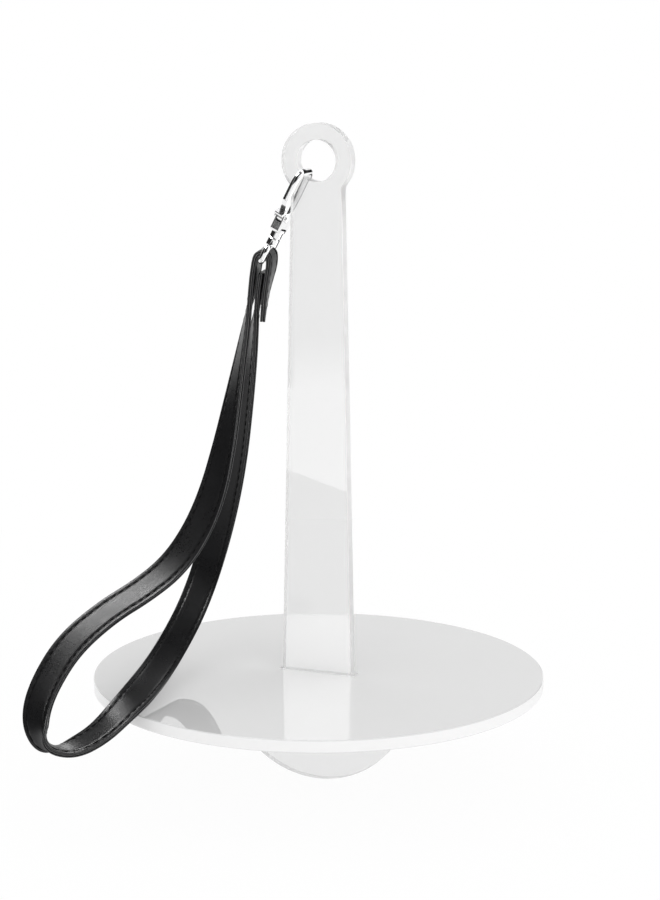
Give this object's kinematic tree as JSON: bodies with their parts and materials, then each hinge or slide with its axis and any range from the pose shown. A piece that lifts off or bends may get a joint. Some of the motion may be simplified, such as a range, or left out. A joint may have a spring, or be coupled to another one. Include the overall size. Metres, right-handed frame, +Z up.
{
  "type": "yarn ball holder",
  "caption": "Round clear plate on an upright blade with a ring at its top and a half-round foot, and a wrist strap on a swivel snap hook.",
  "frame": {"origin": "the plate's middle axis, at the lowest point of the foot", "axes": "+Z up along the blade; the blade lies in the XZ plane, its faces look along -Y and +Y, and the strap hangs on the -X side"},
  "size_m": [0.15, 0.1677, 0.219],
  "materials": {
    "acrylic": "clear cast acrylic sheet with polished faces, pale grey where it mirrors the room",
    "plated_metal": "die-cast zinc with bright chrome plating",
    "spring_steel": "drawn spring wire",
    "strap_leather": "black fine-grained leather with dark stitching and a soft sheen"
  },
  "bodies": {
    "spindle": {"spindle_blade": "acrylic"},
    "turntable": {"plate": "acrylic"},
    "hook": {"hook_body": "plated_metal", "gate_pin": "plated_metal", "gate_spring": "spring_steel"},
    "gate": {"hook_gate": "plated_metal"},
    "swivel": {"swivel_eye": "plated_metal"},
    "strap": {"strap_outer": "strap_leather", "strap_lining": "strap_leather"}
  },
  "joints": [
    {"name": "plate_lift", "type": "slide", "parent": "spindle", "child": "turntable", "axis": [0, 0, 1], "range_m": [0, 0.06], "deforming": ["strap_outer", "strap_lining"]},
    {"name": "hook_swing", "type": "hinge", "parent": "spindle", "child": "hook", "pos_m": [0, 0, 0.207], "axis": [0, 1, 0], "range_deg": [0, 150]},
    {"name": "gate_open", "type": "hinge", "parent": "hook", "child": "gate", "pos_m": [-0.01152, -0.0033, 0.1887], "axis": [-0.887, 0, 0.4617], "range_deg": [0, 26], "stiffness_Nm_per_rad": 0.004, "springref_deg": -20.05},
    {"name": "swivel_turn", "type": "hinge", "parent": "hook", "child": "swivel", "pos_m": [-0.01392, 0, 0.18409], "axis": [-0.4617, 0, -0.887], "range_deg": [0, 180]},
    {"name": "strap_tilt", "type": "hinge", "parent": "swivel", "child": "strap", "pos_m": [-0.01872, 0, 0.17486], "axis": [-0.1647, 0.9826, 0.0857], "range_deg": [0, 75]}
  ]
}
